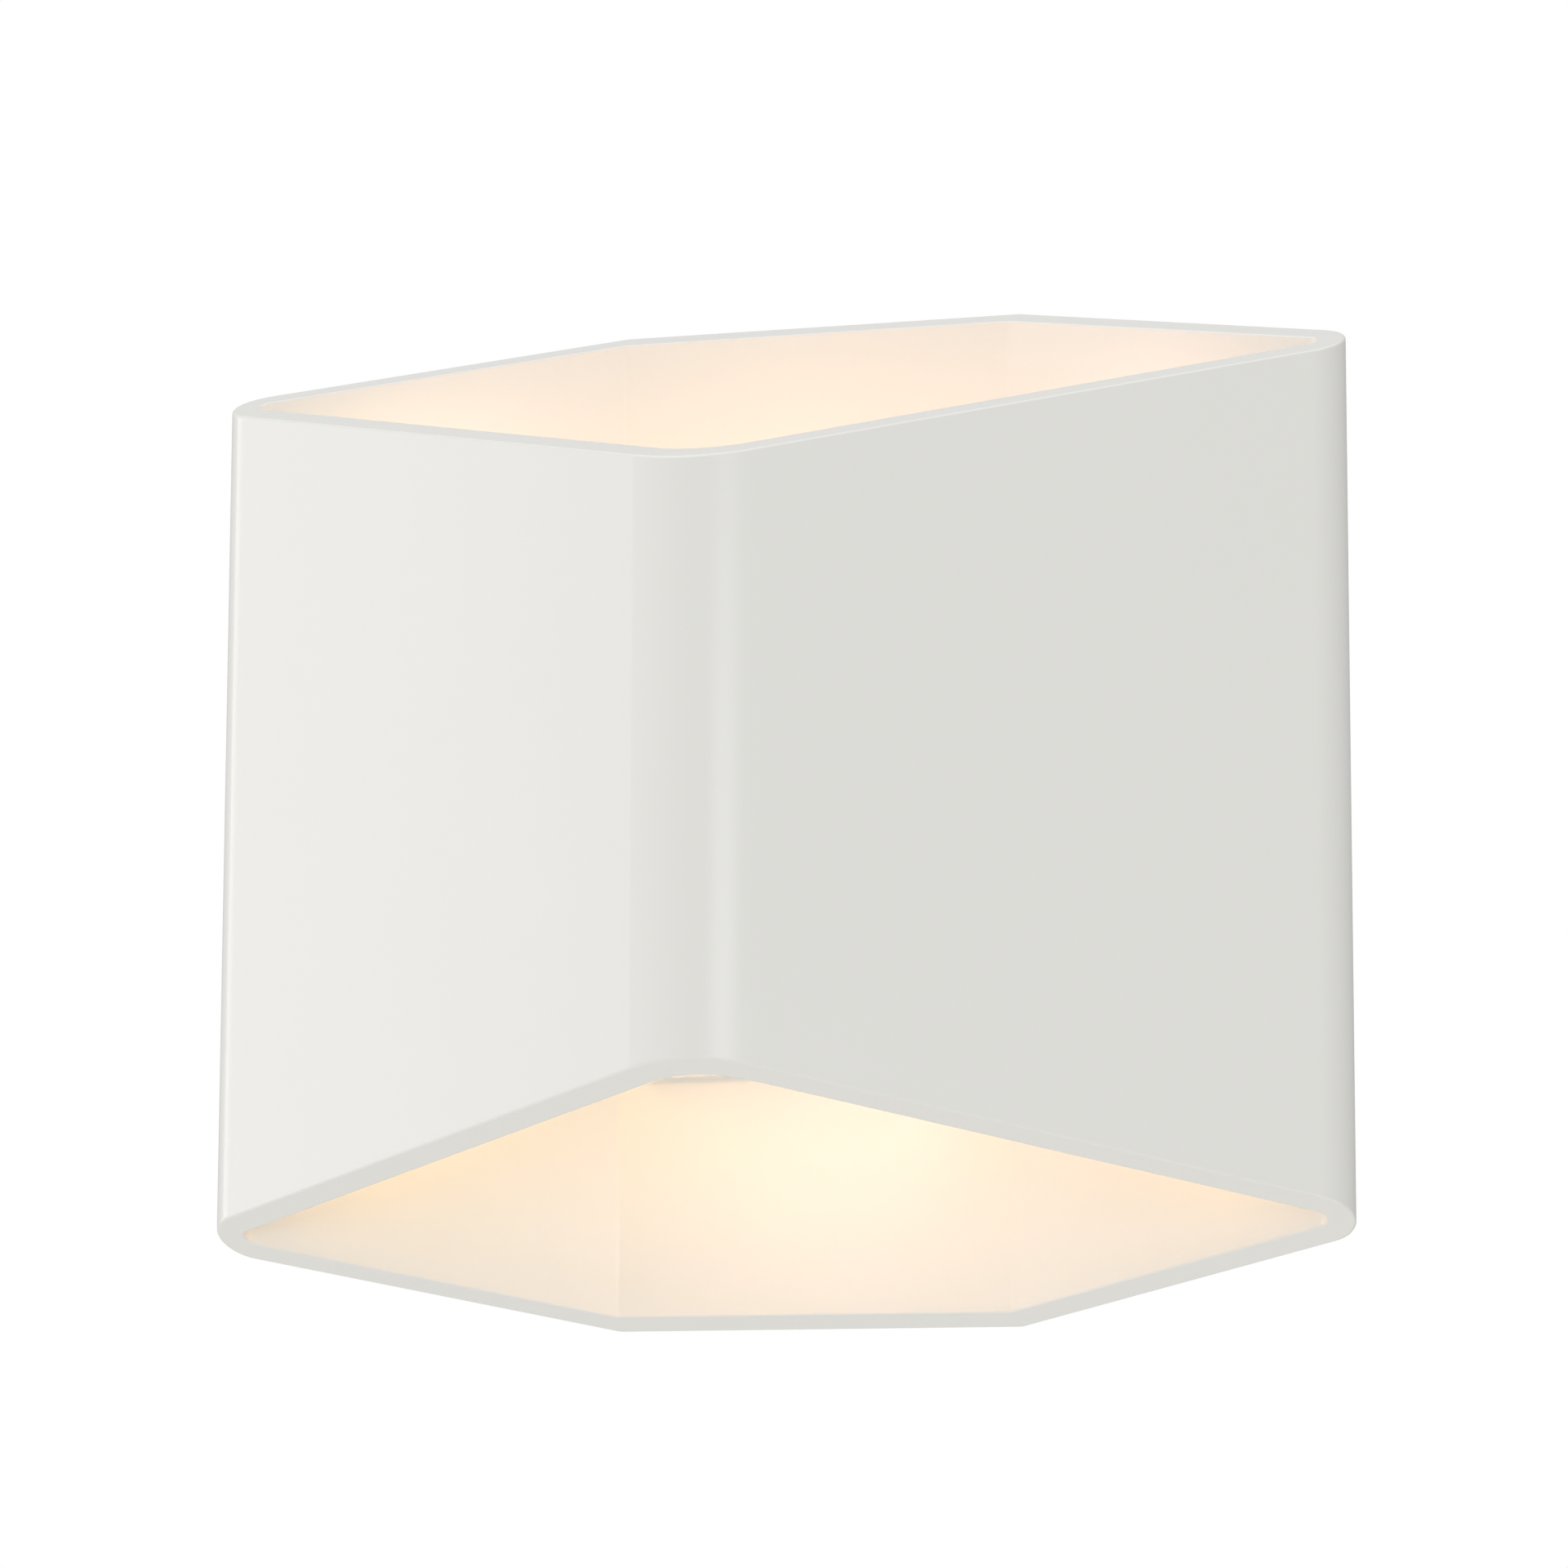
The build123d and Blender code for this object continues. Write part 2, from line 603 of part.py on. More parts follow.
# Light modules: board, chips, reflector, diffuser, gasket, bezel and its screws, top and bottom
reflector_run = reflector_height * tan(radians(reflector_slope))
for name, side in sides:
    with BuildPart() as led_board:
        slab(side_plane(side, board_floor), board_length, board_width, board_corner_r, board_thickness)
    save(led_board, f"led_board_{name}")

    with BuildPart() as led_chips:
        with BuildSketch(side_plane(side, chip_floor)):
            with Locations(*chip_places):
                Rectangle(chip_size, chip_size)
        extrude(amount=chip_height)
    save(led_chips, f"led_chips_{name}")

    with BuildPart() as reflector:
        slab(side_plane(side, chip_floor), board_length, board_width, board_corner_r, reflector_height)
        mouth_length = board_length - 2 * reflector_rim
        mouth_width = board_width - 2 * reflector_rim
        with BuildSketch(side_plane(side, chip_floor)):
            Rectangle(mouth_length - 2 * reflector_run, mouth_width - 2 * reflector_run)
        with BuildSketch(side_plane(side, chip_floor + reflector_height)):
            Rectangle(mouth_length, mouth_width)
        loft(mode=Mode.SUBTRACT)
    save(reflector, f"reflector_{name}")

    with BuildPart() as diffuser:
        slab(
            side_plane(side, diffuser_floor),
            diffuser_length,
            diffuser_width,
            diffuser_corner_r,
            diffuser_thickness,
        )
    save(diffuser, f"diffuser_{name}")

    with BuildPart() as diffuser_gasket:
        frame(
            side_plane(side, diffuser_top),
            (diffuser_length, diffuser_width, diffuser_corner_r),
            (
                diffuser_length - 2 * lens_gasket_width,
                diffuser_width - 2 * lens_gasket_width,
                diffuser_corner_r - lens_gasket_width / 2,
            ),
            lens_gasket,
        )
    save(diffuser_gasket, f"diffuser_gasket_{name}")

    with BuildPart() as bezel:
        frame(
            side_plane(side, bezel_floor),
            (bezel_length - 2 * bezel_gap, bezel_width - 2 * bezel_gap, bezel_corner_r - bezel_gap),
            (window_length, window_width, window_corner_r),
            bezel_thickness,
        )
        face = bezel.faces().sort_by(Axis.Z)[-1 if side > 0 else 0]
        chamfer(face.inner_wires()[0].edges(), window_bevel)
        rounds(
            side_plane(side, bezel_floor),
            bezel_screw_places,
            bezel_screw_r + fit_gap,
            bezel_thickness,
            Mode.SUBTRACT,
        )
        cones(
            side_plane(side, box_top),
            bezel_screw_places,
            bezel_screw_head_r + fit_gap,
            bezel_screw_r,
            Mode.SUBTRACT,
        )
    save(bezel, f"bezel_{name}")

    with BuildPart() as bezel_screws:
        reach = bezel_thickness + bezel_screw_length - fit_gap
        rounds(side_plane(side, box_top), bezel_screw_places, bezel_screw_r, -reach)
        cones(side_plane(side, box_top), bezel_screw_places, bezel_screw_head_r, bezel_screw_r)
        with BuildSketch(side_plane(side, box_top)):
            with Locations(*bezel_screw_places):
                Rectangle(bezel_screw_head_r, bezel_screw_r / 2)
                Rectangle(bezel_screw_r / 2, bezel_screw_head_r)
        extrude(amount=-bezel_screw_r / 2, mode=Mode.SUBTRACT)
    save(bezel_screws, f"bezel_screws_{name}")

    # Locking screw: through the collar's open slot into the boss of the light box
    with BuildPart() as locking_screw:
        lock_place = [(0, side * (module_depth - lock_depth))]
        rounds(side_plane(side, lock_tip), lock_place, lock_screw_r, lock_head_floor - lock_tip)
        rounds(side_plane(side, lock_head_floor), lock_place, lock_head_r, lock_head)
        rim = locking_screw.faces().sort_by(Axis.Z)[-1 if side > 0 else 0]
        chamfer(rim.edges(), lock_head_edge)
        with BuildSketch(side_plane(side, lock_head_floor + lock_head)):
            with Locations(*lock_place):
                RegularPolygon(lock_socket / 2, 6, major_radius=False)
        extrude(amount=-lock_socket_depth, mode=Mode.SUBTRACT)
    save(locking_screw, f"locking_screw_{name}")
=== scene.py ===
"""Looks of an up-and-down outdoor wall light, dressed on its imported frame.

Lengths are in metres, in the frame's own axes: +X to the right, +Y into the wall, +Z up. Angles are in degrees, and
light powers in watts.
"""

from __future__ import annotations

import json
import logging
import math
from dataclasses import dataclass, field
from enum import Enum
from typing import Any

import bpy
from mathutils import Matrix, Vector

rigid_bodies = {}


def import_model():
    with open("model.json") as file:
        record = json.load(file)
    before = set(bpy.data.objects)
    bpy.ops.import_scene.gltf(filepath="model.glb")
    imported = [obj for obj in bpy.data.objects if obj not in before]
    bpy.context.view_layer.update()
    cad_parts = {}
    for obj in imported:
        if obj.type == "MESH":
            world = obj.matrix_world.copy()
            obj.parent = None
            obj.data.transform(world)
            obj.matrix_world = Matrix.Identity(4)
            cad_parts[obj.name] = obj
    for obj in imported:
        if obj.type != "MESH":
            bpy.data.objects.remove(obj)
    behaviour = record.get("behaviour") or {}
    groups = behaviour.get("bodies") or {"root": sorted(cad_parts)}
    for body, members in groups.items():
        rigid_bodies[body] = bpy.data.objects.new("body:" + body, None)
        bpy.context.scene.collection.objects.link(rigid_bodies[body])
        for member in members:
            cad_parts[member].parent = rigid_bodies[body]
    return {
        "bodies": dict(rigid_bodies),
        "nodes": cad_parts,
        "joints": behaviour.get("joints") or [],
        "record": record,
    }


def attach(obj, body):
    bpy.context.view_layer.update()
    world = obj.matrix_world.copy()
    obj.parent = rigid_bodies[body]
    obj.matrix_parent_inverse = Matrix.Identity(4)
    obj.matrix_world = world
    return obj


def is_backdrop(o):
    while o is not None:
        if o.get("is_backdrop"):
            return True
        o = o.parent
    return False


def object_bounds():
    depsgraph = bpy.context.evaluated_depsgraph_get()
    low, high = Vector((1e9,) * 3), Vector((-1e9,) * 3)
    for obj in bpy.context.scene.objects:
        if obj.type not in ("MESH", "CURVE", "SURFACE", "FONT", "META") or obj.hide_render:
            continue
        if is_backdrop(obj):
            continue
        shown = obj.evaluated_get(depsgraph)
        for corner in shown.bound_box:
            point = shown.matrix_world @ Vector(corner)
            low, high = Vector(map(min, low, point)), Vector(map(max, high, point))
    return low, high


log = logging.getLogger("wall_light")

Colour = tuple[float, float, float]
Point = tuple[float, float, float]
Frame = dict[str, Any]
Sockets = dict[str | int, object]
MM = 0.001
HALFWAY = 0.5  # the middle of a noise or of a mix


def opaque(colour: Colour) -> tuple[float, float, float, float]:
    """Returns the colour with full alpha, as Blender's sockets take it."""
    return (*colour, 1.0)


class Signal:
    """A socket of a material, with its sums written as Python expressions."""

    def __init__(self, paint: Paint, socket: bpy.types.NodeSocket) -> None:
        """Wraps a socket.

        Args:
            paint: The material's nodes that the socket belongs to.
            socket: The output whose value this stands for.
        """
        self.paint = paint
        self.socket = socket

    def _math(self, operation: str, first: Term, second: Term = 0.0) -> Signal:
        """Adds one Math node.

        Args:
            operation: The Math node's operation.
            first: Its first term.
            second: Its second term.

        Returns:
            The node's result.
        """
        made = self.paint.node("ShaderNodeMath", {0: first, 1: second}, operation=operation)
        return Signal(self.paint, made.outputs[0])

    def __add__(self, other: Term) -> Signal:
        """Returns the sum of the two."""
        return self._math("ADD", self, other)

    def __radd__(self, other: Term) -> Signal:
        """Returns the sum of the two."""
        return self._math("ADD", other, self)

    def __sub__(self, other: Term) -> Signal:
        """Returns this less the other."""
        return self._math("SUBTRACT", self, other)

    def __mul__(self, other: Term) -> Signal:
        """Returns the product of the two."""
        return self._math("MULTIPLY", self, other)

    def cosine(self) -> Signal:
        """Returns the cosine of this, taken in radians."""
        return self._math("COSINE", self)


Term = Signal | float


class Paint:
    """The nodes of one material."""

    # Where a Mix node has its factor, its two colours and its mixed colour.
    MIX_FACTOR, MIX_FIRST, MIX_SECOND, MIX_RESULT = 0, 6, 7, 2

    def __init__(self, name: str) -> None:
        """Starts an empty material.

        Args:
            name: The material's name.
        """
        self.material = bpy.data.materials.new(name)
        self.material.use_nodes = True
        self.tree = self.material.node_tree
        self.tree.nodes.clear()
        self.place = Signal(self, self.node("ShaderNodeTexCoord").outputs["Object"])

    def node(self, kind: str, sockets: Sockets | None = None, **settings: object) -> bpy.types.Node:
        """Adds a node.

        Args:
            kind: The node's type.
            sockets: The value or the Signal that each of its sockets takes.
            **settings: Its properties, which are set first.

        Returns:
            The node.
        """
        made = self.tree.nodes.new(kind)
        for name, value in settings.items():
            setattr(made, name, value)
        for name, value in (sockets or {}).items():
            if isinstance(value, Signal):
                self.tree.links.new(value.socket, made.inputs[name])
            else:
                made.inputs[name].default_value = value
        return made

    def noise(self, lump: float, detail: float = 2.0, stretch: Point = (1.0, 1.0, 1.0)) -> Signal:
        """Spreads a noise over the surface.

        Args:
            lump: The size of its lumps, in metres.
            detail: How many finer layers it has.
            stretch: How many times longer a lump is along each axis.

        Returns:
            The noise, from 0 to 1.
        """
        scale = tuple(1.0 / (lump * longer) for longer in stretch)
        placed = Signal(self, self.node("ShaderNodeMapping", {"Vector": self.place, "Scale": scale}).outputs[0])
        made = self.node("ShaderNodeTexNoise", {"Vector": placed, "Scale": 1.0, "Detail": detail})
        return Signal(self, made.outputs[0])

    def mix(self, factor: Signal, low: Colour, high: Colour) -> Signal:
        """Mixes two colours.

        Args:
            factor: The second colour's share, from 0 to 1.
            low: The first colour.
            high: The second colour.

        Returns:
            The mixed colour.
        """
        sockets = {self.MIX_FACTOR: factor, self.MIX_FIRST: opaque(low), self.MIX_SECOND: opaque(high)}
        made = self.node("ShaderNodeMix", sockets, data_type="RGBA")
        return Signal(self, made.outputs[self.MIX_RESULT])

    def bump(self, height: Signal, depth: float) -> Signal:
        """Bends the normal by a height.

        Args:
            height: The height, from 0 to 1.
            depth: What a height of 1 stands for, in metres.

        Returns:
            The normal.
        """
        made = self.node("ShaderNodeBump", {"Height": height, "Distance": depth})
        return Signal(self, made.outputs[0])

    def surface(self, sockets: Sockets, seen: Sockets | None = None) -> bpy.types.Material:
        """Ends the material with its shader.

        Args:
            sockets: The value or the Signal that each of the shader's sockets takes.
            seen: The same for what the camera sees directly, where that differs.

        Returns:
            The material.
        """
        shader = Signal(self, self.node("ShaderNodeBsdfPrincipled", sockets).outputs[0])
        if seen is not None:
            direct = Signal(self, self.node("ShaderNodeLightPath").outputs["Is Camera Ray"])
            shown = Signal(self, self.node("ShaderNodeBsdfPrincipled", seen).outputs[0])
            mixed = self.node("ShaderNodeMixShader", {0: direct, 1: shader, 2: shown})
            shader = Signal(self, mixed.outputs[0])
        self.node("ShaderNodeOutputMaterial", {"Surface": shader})
        return self.material


@dataclass(frozen=True)
class PowderCoat:
    """Satin powder coat: a fine orange peel, and a gloss that varies a little."""

    name: str = "white_powder_coat"
    colour: Colour = (0.875, 0.868, 0.835)
    thin_colour: Colour = (0.86, 0.854, 0.822)
    roughness: float = 0.22
    unevenness: float = 0.05
    peel_size: float = 1.1 * MM
    peel_depth: float = 0.012 * MM
    cloud_size: float = 28 * MM
    cloud_detail: float = 3.0

    def material(self) -> bpy.types.Material:
        """Makes the finish.

        Returns:
            Its material.
        """
        paint = Paint(self.name)
        peel = paint.noise(self.peel_size)
        cloud = paint.noise(self.cloud_size, self.cloud_detail)
        return paint.surface(
            {
                "Base Color": paint.mix(cloud, self.thin_colour, self.colour),
                "Roughness": self.roughness + (cloud - HALFWAY) * self.unevenness,
                "Normal": paint.bump(peel, self.peel_depth),
            }
        )


@dataclass(frozen=True)
class Metal:
    """Bare metal: a tone that clouds, a grain that can be drawn out, and a matching gloss."""

    name: str
    colour: Colour
    dull_colour: Colour
    roughness: float
    unevenness: float
    grain_size: float
    grain_depth: float
    stretch: Point = (1.0, 1.0, 1.0)
    detail: float = 3.0
    cloud_size: float = 9 * MM
    cloud_share: float = 0.6

    def material(self) -> bpy.types.Material:
        """Makes the finish.

        Returns:
            Its material.
        """
        paint = Paint(self.name)
        grain = paint.noise(self.grain_size, self.detail, self.stretch)
        cloud = paint.noise(self.cloud_size, self.detail)
        tone = cloud * self.cloud_share + grain * (1.0 - self.cloud_share)
        return paint.surface(
            {
                "Base Color": paint.mix(tone, self.dull_colour, self.colour),
                "Metallic": 1.0,
                "Roughness": self.roughness + (grain - HALFWAY) * self.unevenness,
                "Normal": paint.bump(grain, self.grain_depth),
            }
        )


@dataclass(frozen=True)
class Moulding:
    """Moulded plastic, rubber or silicone: a fine skin, with specks and a clouded tone."""

    name: str
    colour: Colour
    speck_colour: Colour
    roughness: float
    skin_size: float = 0.35 * MM
    skin_depth: float = 0.01 * MM
    cloud_size: float = 5 * MM
    cloud_detail: float = 4.0
    cloud_share: float = 0.5
    unevenness: float = 0.12
    subsurface: float = 0.0
    subsurface_depth: float = 1 * MM

    def material(self) -> bpy.types.Material:
        """Makes the finish.

        Returns:
            Its material.
        """
        paint = Paint(self.name)
        skin = paint.noise(self.skin_size)
        cloud = paint.noise(self.cloud_size, self.cloud_detail)
        tone = cloud * self.cloud_share + skin * (1.0 - self.cloud_share)
        return paint.surface(
            {
                "Base Color": paint.mix(tone, self.speck_colour, self.colour),
                "Roughness": self.roughness + (skin - HALFWAY) * self.unevenness,
                "Normal": paint.bump(skin, self.skin_depth),
                "Subsurface Weight": self.subsurface,
                "Subsurface Scale": self.subsurface_depth,
            }
        )


@dataclass(frozen=True)
class Glow:
    """A lit surface, a little brighter over each light source behind it."""

    name: str
    colour: Colour
    bright: Colour
    soft: Colour
    strength: float
    pitch_x: float
    pitch_y: float
    ripple_depth: float = 0.25
    roughness: float = 0.55
    unevenness: float = 0.1
    frost_size: float = 0.3 * MM
    frost_depth: float = 0.006 * MM

    def material(self) -> bpy.types.Material:
        """Makes the finish.

        Returns:
            Its material.
        """
        paint = Paint(self.name)
        parts = paint.node("ShaderNodeSeparateXYZ", {0: paint.place})
        across, deep = (Signal(paint, parts.outputs[i]) for i in (0, 1))
        ripple = (across * (math.tau / self.pitch_x)).cosine() * (deep * (math.tau / self.pitch_y)).cosine()
        frost = paint.noise(self.frost_size)
        return paint.surface(
            {
                "Base Color": paint.mix(frost, self.soft, self.colour),
                "Roughness": self.roughness + (frost - HALFWAY) * self.unevenness,
                "Emission Color": paint.mix(ripple * self.ripple_depth + HALFWAY, self.soft, self.bright),
                "Emission Strength": self.strength,
                "Normal": paint.bump(frost, self.frost_depth),
            }
        )


class Slot(Enum):
    """The finishes of the light, one for each material slot of its record."""

    WHITE_POWDER_COAT = PowderCoat()
    CAST_ALUMINIUM = Metal(
        "cast_aluminium",
        colour=(0.68, 0.69, 0.70),
        dull_colour=(0.55, 0.56, 0.57),
        roughness=0.48,
        unevenness=0.16,
        grain_size=0.45 * MM,
        grain_depth=0.05 * MM,
    )
    ZINC_STEEL = Metal(
        "zinc_steel",
        colour=(0.72, 0.73, 0.74),
        dull_colour=(0.60, 0.61, 0.62),
        roughness=0.24,
        unevenness=0.12,
        grain_size=0.16 * MM,
        grain_depth=0.004 * MM,
        stretch=(6.0, 1.0, 1.0),
    )
    BRASS = Metal(
        "brass",
        colour=(0.83, 0.67, 0.36),
        dull_colour=(0.70, 0.53, 0.26),
        roughness=0.3,
        unevenness=0.1,
        grain_size=0.14 * MM,
        grain_depth=0.004 * MM,
        stretch=(1.0, 1.0, 5.0),
    )
    BLACK_RUBBER = Moulding(
        "black_rubber", colour=(0.032, 0.032, 0.033), speck_colour=(0.018, 0.018, 0.019), roughness=0.72
    )
    CLEAR_SILICONE = Moulding(
        "clear_silicone",
        colour=(0.80, 0.80, 0.78),
        speck_colour=(0.70, 0.70, 0.68),
        roughness=0.42,
        subsurface=0.4,
    )
    BLOCK_PLASTIC = Moulding(
        "block_plastic",
        colour=(0.85, 0.83, 0.76),
        speck_colour=(0.78, 0.76, 0.68),
        roughness=0.45,
        subsurface=0.15,
    )
    DRIVER_CASE = Moulding("driver_case", colour=(0.86, 0.86, 0.85), speck_colour=(0.80, 0.80, 0.79), roughness=0.5)
    HEAT_PAD = Moulding(
        "heat_pad",
        colour=(0.43, 0.51, 0.59),
        speck_colour=(0.35, 0.43, 0.51),
        roughness=0.8,
        skin_size=0.6 * MM,
        skin_depth=0.03 * MM,
    )
    BOARD_MASK = Moulding("board_mask", colour=(0.92, 0.92, 0.90), speck_colour=(0.87, 0.87, 0.84), roughness=0.35)
    REFLECTOR_WHITE = Moulding(
        "reflector_white", colour=(0.94, 0.94, 0.93), speck_colour=(0.90, 0.90, 0.88), roughness=0.3
    )
    LED_PHOSPHOR = Glow(
        "led_phosphor",
        colour=(0.95, 0.80, 0.40),
        bright=(1.0, 0.82, 0.55),
        soft=(0.95, 0.72, 0.40),
        strength=6.0,
        pitch_x=1 * MM,
        pitch_y=1 * MM,
    )
    OPAL_DIFFUSER = Glow(
        "opal_diffuser",
        colour=(0.95, 0.93, 0.88),
        bright=(1.0, 0.61, 0.34),
        soft=(1.0, 0.56, 0.30),
        strength=7.0,
        pitch_x=7 * MM,
        pitch_y=6 * MM,
    )


class Finishes:
    """Makes each finish once and gives it to the nodes that have its slot."""

    def __init__(self, frame: Frame) -> None:
        """Reads which slot each node has.
        """
        self.nodes = frame["nodes"]
        self.slots = {s["node"]: s["material_slot"] for s in frame["record"]["subparts"]}
        self.made: dict[Slot, bpy.types.Material] = {}

    def of(self, slot: Slot) -> bpy.types.Material:
        """Gives a slot's material, and makes it when it is first asked for.

        Args:
            slot: The slot.

        Returns:
            Its material.
        """
        if slot not in self.made:
            self.made[slot] = slot.value.material()
        return self.made[slot]

    def dress(self, name: str) -> None:
        """Gives one node its finish.

        Args:
            name: The node's name.
        """
        piece = self.nodes[name]
        slot = Slot[self.slots[name].upper()]
        piece.data.materials.clear()
        piece.data.materials.append(self.of(slot))
        log.info("%s: %s", name, slot.value.name)

    def clear_unused(self) -> None:
        """Removes the frame's own materials, which no node has any more, and takes over their names."""
        for material in [m for m in bpy.data.materials if not m.users]:
            bpy.data.materials.remove(material)
        for slot, material in self.made.items():
            material.name = slot.value.name


@dataclass(frozen=True)
class SubAssembly:
    """Pieces that are mounted together."""

    nodes: tuple[str, ...] = ()

    def names(self) -> tuple[str, ...]:
        """Returns the names that its pieces have in the frame."""
        return self.nodes

    def build(self, finishes: Finishes) -> None:
        """Dresses its pieces.

        Args:
            finishes: Where the materials come from.
        """
        for name in self.names():
            finishes.dress(name)


@dataclass(frozen=True)
class ShadeAssembly(SubAssembly):
    """The shade that lifts off, with the collar riveted into its back."""

    nodes: tuple[str, ...] = ("shade", "mounting_collar", "collar_rivets")


@dataclass(frozen=True)
class WallMount(SubAssembly):
    """What is screwed to the wall: the plate, its seals, the terminals and the earth."""

    nodes: tuple[str, ...] = (
        "wall_plate",
        "wall_gasket",
        "cable_grommet",
        "terminal_block",
        "terminal_screws",
        "earth_washer",
        "earth_screw",
        "standoffs",
    )


@dataclass(frozen=True)
class LightBox(SubAssembly):
    """The sealed box on the plate, with the driver in it."""

    nodes: tuple[str, ...] = ("box_gasket", "light_box", "screw_seals", "box_screws", "led_driver", "heat_pad")


class End(Enum):
    """The two ends of the light box that light comes out of."""

    TOP = "top"
    BOTTOM = "bottom"


@dataclass(frozen=True)
class LightModule(SubAssembly):
    """The lights at one end of the box, from the board out to the locking screw."""

    nodes: tuple[str, ...] = (
        "led_board",
        "led_chips",
        "reflector",
        "diffuser_gasket",
        "diffuser",
        "bezel",
        "bezel_screws",
        "locking_screw",
    )
    end: End = End.TOP

    def names(self) -> tuple[str, ...]:
        """Returns the names that its pieces have in the frame, at this end."""
        return tuple(f"{node}_{self.end.value}" for node in self.nodes)


def add_lamp(name: str, kind: str, power: float, colour: Colour) -> bpy.types.Object:
    """Adds a light that the camera doesn't see.

    Args:
        name: Its name.
        kind: Its type, AREA or POINT.
        power: Its power.
        colour: Its colour.

    Returns:
        The light, not yet placed.
    """
    data = bpy.data.lights.new(name, kind)
    data.energy = power
    data.color = colour
    lamp = bpy.data.objects.new(name, data)
    lamp.visible_camera = False
    bpy.context.scene.collection.objects.link(lamp)
    return lamp


@dataclass(frozen=True)
class SoftBox:
    """A soft light that stands round the object and points at it."""

    name: str
    azimuth: float
    elevation: float
    distance: float
    width: float
    height: float
    power: float
    colour: Colour

    def place(self, target: Vector) -> None:
        """Sets the light up.

        Args:
            target: The point that it faces.
        """
        lamp = add_lamp(self.name, "AREA", self.power, self.colour)
        lamp.data.shape = "RECTANGLE"
        lamp.data.size, lamp.data.size_y = self.width, self.height
        around, up = math.radians(self.azimuth), math.radians(self.elevation)
        away = Vector((math.sin(around) * math.cos(up), -math.cos(around) * math.cos(up), math.sin(up)))
        lamp.location = target + away * self.distance
        lamp.rotation_euler = (-away).to_track_quat("-Z", "Y").to_euler()


@dataclass(frozen=True)
class Afterglow:
    """Warm light that the walls throw back and forth inside the shade, and that moves with it."""

    name: str
    position_mm: Point
    power: float
    colour: Colour
    radius: float = 5 * MM

    def place(self) -> None:
        """Sets the light up."""
        lamp = add_lamp(self.name, "POINT", self.power, self.colour)
        lamp.data.shadow_soft_size = self.radius
        lamp.location = Vector(self.position_mm) * MM
        lamp.visible_glossy = False
        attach(lamp, "shade_assembly")


@dataclass(frozen=True)
class Viewpoint:
    """Where the photograph was taken from."""

    position: Point = (0.2173, -0.7593, -0.1157)
    yaw: float = 16.38
    pitch: float = 8.73
    roll: float = 0.2
    lens: float = 127.87
    nearest: float = 0.01
    farthest: float = 200.0

    def place(self) -> None:
        """Sets the camera up."""
        turn, tilt, lean = (math.radians(a) for a in (self.yaw, self.pitch, self.roll))
        ahead = Vector((-math.sin(turn) * math.cos(tilt), math.cos(turn) * math.cos(tilt), math.sin(tilt)))
        level = Vector((math.cos(turn), math.sin(turn), 0.0))
        upright = level.cross(ahead)
        right = level * math.cos(lean) + upright * math.sin(lean)
        top = right.cross(ahead)
        data = bpy.data.cameras.new("photo_view")
        data.lens = self.lens
        data.clip_start, data.clip_end = self.nearest, self.farthest
        camera = bpy.data.objects.new("photo_view", data)
        turned = Matrix((right, top, -ahead)).transposed().to_4x4()
        camera.matrix_world = Matrix.Translation(self.position) @ turned
        bpy.context.scene.collection.objects.link(camera)
        bpy.context.scene.camera = camera


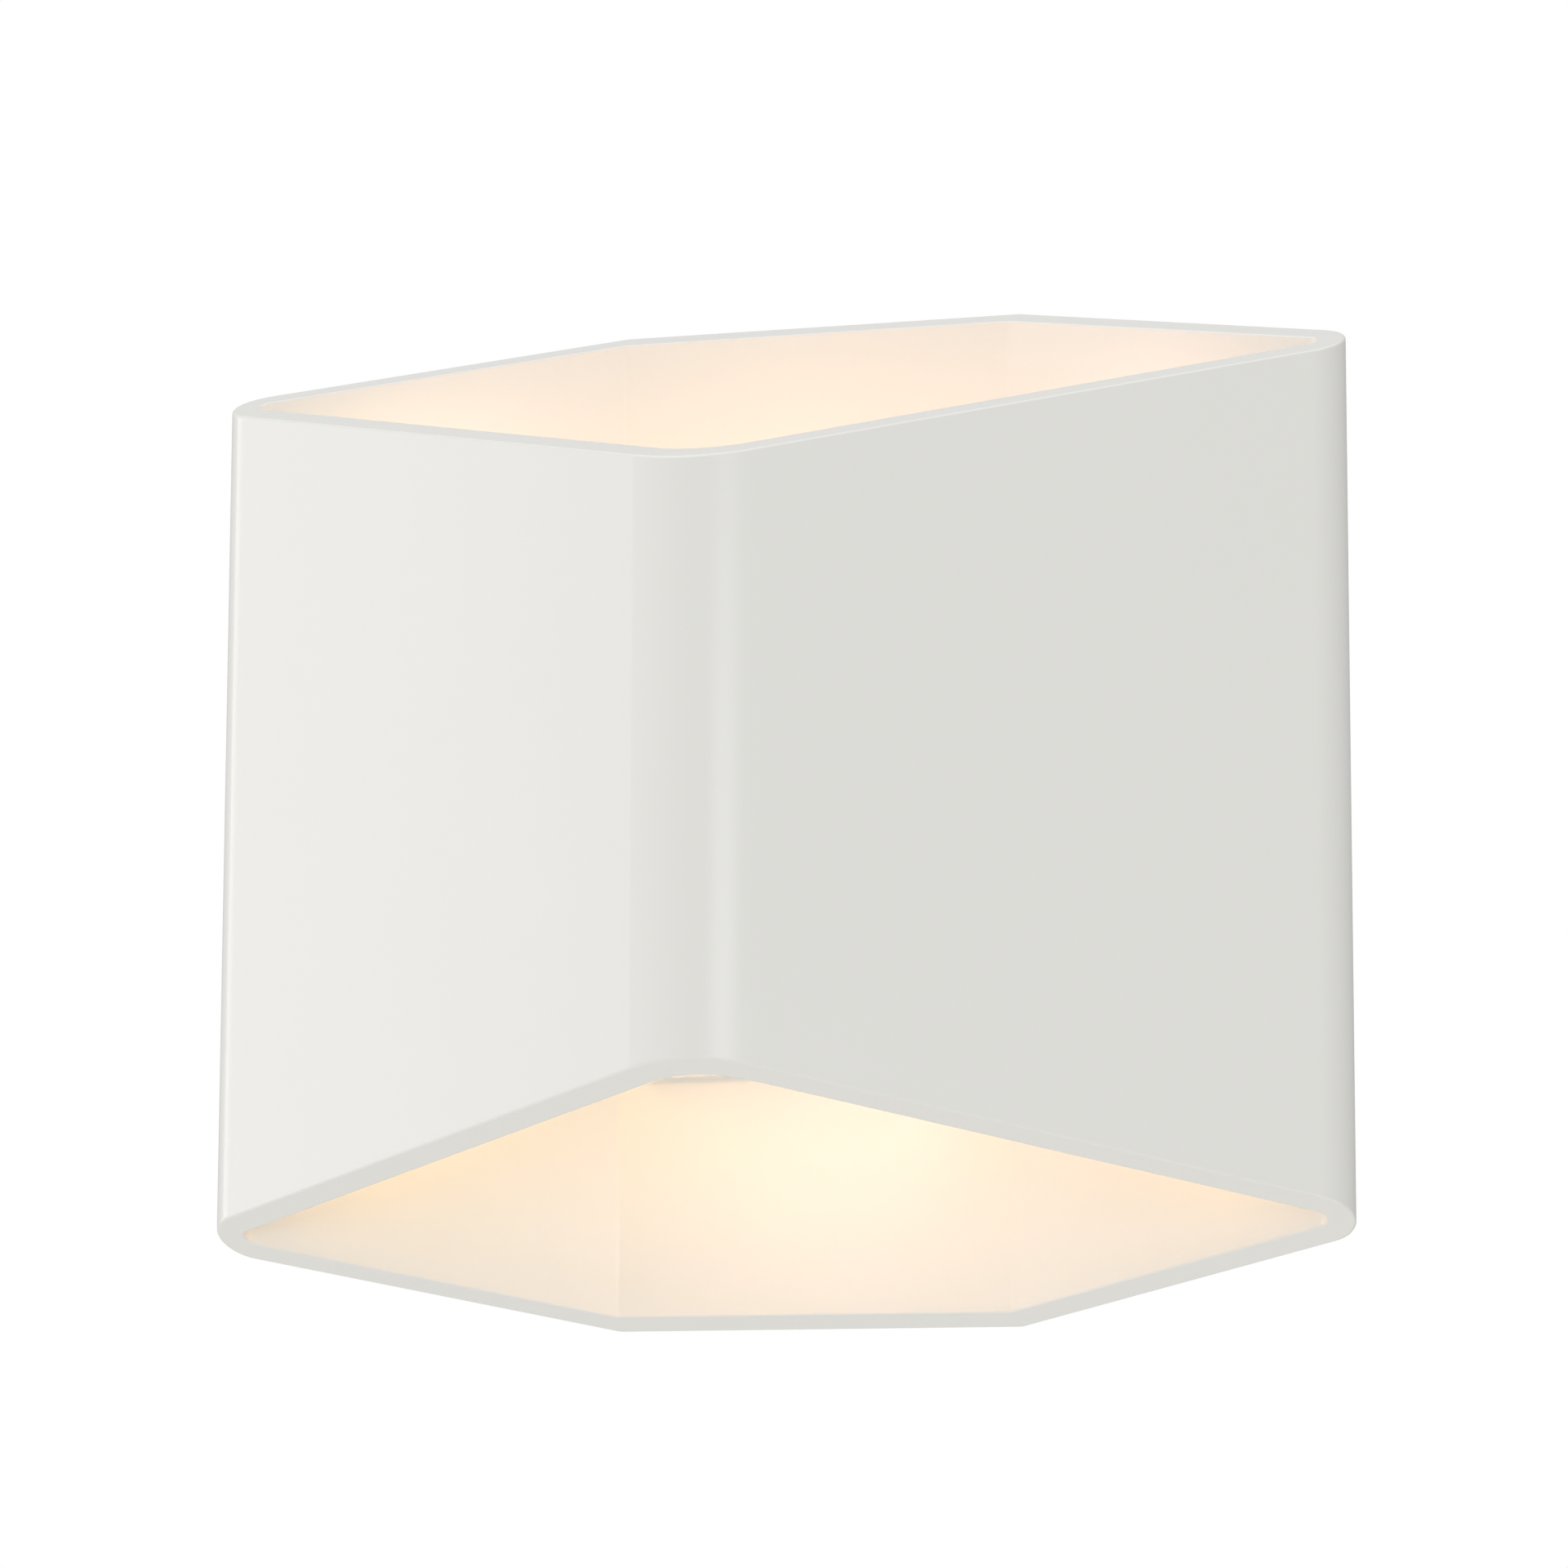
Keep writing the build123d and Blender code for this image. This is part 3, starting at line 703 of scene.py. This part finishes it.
@dataclass(frozen=True)
class Studio:
    """The pale floor, the soft lights and the white surroundings."""

    floor_depth: float = 1.2
    floor_reach: float = 60.0
    floor_colour: Colour = (0.80, 0.80, 0.79)
    floor_dulling: float = 0.98
    floor_cloud_size: float = 0.3
    floor_roughness: float = 0.8
    floor_lift: float = 0.44
    ambient: Colour = (0.489, 0.489, 0.488)
    backdrop: Colour = (1.0, 1.0, 1.0)
    # name, azimuth, elevation, distance, width, height, power, colour
    lights: tuple[SoftBox, ...] = (
        SoftBox("left_far", -90, 0, 1.6, 0.45, 1.5, 4.87, (1.0, 0.98, 0.97)),
        SoftBox("left_near", -75, 0, 1.6, 0.45, 1.5, 3.62, (1.0, 0.985, 0.98)),
        SoftBox("front_fill", 30, 0, 1.6, 1.4, 1.5, 2.26, (0.96, 1.0, 0.96)),
        SoftBox("corner_strip", 8, 0, 1.6, 0.46, 0.7, 2.2, (1.0, 0.99, 0.98)),
        SoftBox("overhead", 0, 80, 1.7, 2.4, 2.4, 18.5, (1.0, 1.0, 1.0)),
        SoftBox("underneath", 69, -78, 1.1, 0.4, 0.4, 1.0, (1.0, 0.957, 0.87)),
        SoftBox("low_front", 10, -40, 1.6, 1.2, 0.7, 3.43, (1.0, 1.0, 0.99)),
    )
    # name, position in millimetres, power, colour
    afterglow: tuple[Afterglow, ...] = (
        Afterglow("left_passage", (-56, -27, 0), 0.0158, (1.0, 0.77, 0.37)),
        Afterglow("right_passage", (56, -27, 0), 0.0138, (1.0, 0.60, 0.20)),
        Afterglow("upper_left", (-46, -30, 45), 0.0044, (1.0, 0.58, 0.40)),
        Afterglow("upper_right", (46, -30, 45), 0.0051, (1.0, 0.64, 0.52)),
        Afterglow("upper_left_corner", (-61, -26.2, 40), 0.0021, (1.0, 0.80, 0.55)),
        Afterglow("lower_left_corner", (-61, -26.2, -36), 0.0046, (1.0, 0.52, 0.10)),
        Afterglow("lower_right_corner", (61, -26.2, -36), 0.0063, (1.0, 0.56, 0.20)),
        Afterglow("lower_middle", (9, -33, -43), 0.0036, (0.82, 0.91, 1.0)),
    )
    viewpoint: Viewpoint = field(default_factory=Viewpoint)

    def build(self, target: Vector) -> None:
        """Sets the studio up round the object.

        Args:
            target: The object's middle.
        """
        self._lay_floor()
        self._set_surroundings()
        for light in self.lights:
            light.place(target)
        for glow in self.afterglow:
            glow.place()
        self.viewpoint.place()
        bpy.context.scene.view_settings.view_transform = "Standard"

    def _lay_floor(self) -> None:
        """Lays the floor well below the light, which hangs on a wall."""
        reach, low = self.floor_reach, -self.floor_depth
        mesh = bpy.data.meshes.new("floor")
        corners = [(-reach, -reach, low), (reach, -reach, low), (reach, reach, low), (-reach, reach, low)]
        mesh.from_pydata(corners, [], [(0, 1, 2, 3)])
        floor = bpy.data.objects.new("floor", mesh)
        bpy.context.scene.collection.objects.link(floor)
        paint = Paint("pale_floor")
        dulled = tuple(channel * self.floor_dulling for channel in self.floor_colour)
        tone = paint.mix(paint.noise(self.floor_cloud_size), dulled, self.floor_colour)
        matt = {"Base Color": tone, "Roughness": self.floor_roughness}
        lifted = {**matt, "Emission Color": opaque(self.backdrop), "Emission Strength": self.floor_lift}
        mesh.materials.append(paint.surface(matt, lifted))
        floor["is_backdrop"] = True

    def _set_surroundings(self) -> None:
        """Makes the backdrop white, and the light that comes from it softer."""
        world = bpy.data.worlds.new("surroundings")
        world.use_nodes = True
        bpy.context.scene.world = world
        tree = world.node_tree
        tree.nodes.clear()
        seen = tree.nodes.new("ShaderNodeLightPath")
        soft, plain = (tree.nodes.new("ShaderNodeBackground") for _ in range(2))
        soft.inputs["Color"].default_value = opaque(self.ambient)
        plain.inputs["Color"].default_value = opaque(self.backdrop)
        mixed = tree.nodes.new("ShaderNodeMixShader")
        shown = tree.nodes.new("ShaderNodeOutputWorld")
        tree.links.new(seen.outputs["Is Camera Ray"], mixed.inputs[0])
        tree.links.new(soft.outputs[0], mixed.inputs[1])
        tree.links.new(plain.outputs[0], mixed.inputs[2])
        tree.links.new(mixed.outputs[0], shown.inputs["Surface"])


def main() -> None:
    """Dresses the light and sets the studio up round its middle."""
    logging.basicConfig(level=logging.INFO, format="%(message)s")
    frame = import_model()
    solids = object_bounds()
    finishes = Finishes(frame)
    for assembly in (ShadeAssembly(), WallMount(), LightBox(), LightModule(end=End.TOP), LightModule(end=End.BOTTOM)):
        assembly.build(finishes)
    finishes.clear_unused()
    Studio().build((solids[0] + solids[1]) / 2)


if __name__ == "__main__":
    main()
